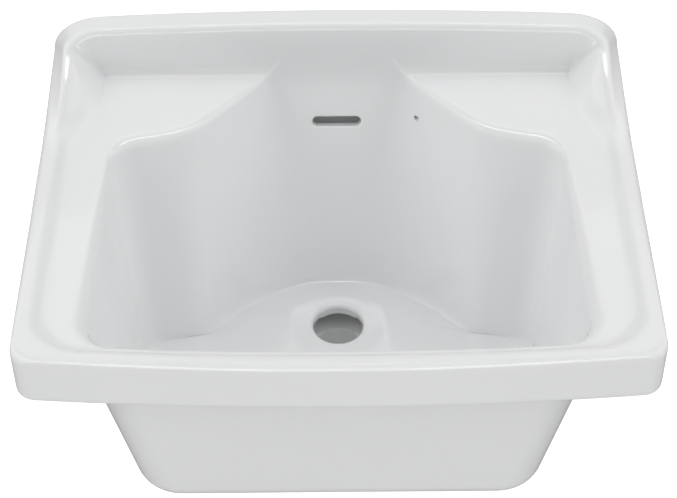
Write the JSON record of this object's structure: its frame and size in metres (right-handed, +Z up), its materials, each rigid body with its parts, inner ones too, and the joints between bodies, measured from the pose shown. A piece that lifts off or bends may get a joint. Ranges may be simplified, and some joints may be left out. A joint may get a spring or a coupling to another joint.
{
  "type": "mop service sink",
  "caption": "Wall-hung ceramic utility sink with a rear upstand, two shelf ledges, a bayed bowl, an overflow slot, a waste hole and wall fixings.",
  "frame": {"origin": "middle of the back face, in the wall plane, level with the top of the front rim", "axes": "+X to the user's right, +Y into the wall, -Y towards the user, +Z up"},
  "size_m": [0.6, 0.524, 0.3555],
  "materials": {
    "glaze": "gloss white glaze",
    "nylon": "moulded",
    "zinc_steel": "zinc plated"
  },
  "bodies": {
    "root": {"basin": "glaze", "sleeve_left": "nylon", "sleeve_right": "nylon", "bolt_left": "zinc_steel", "bolt_right": "zinc_steel", "washer_left": "zinc_steel", "washer_right": "zinc_steel", "nut_left": "zinc_steel", "nut_right": "zinc_steel"}
  },
  "joints": []
}
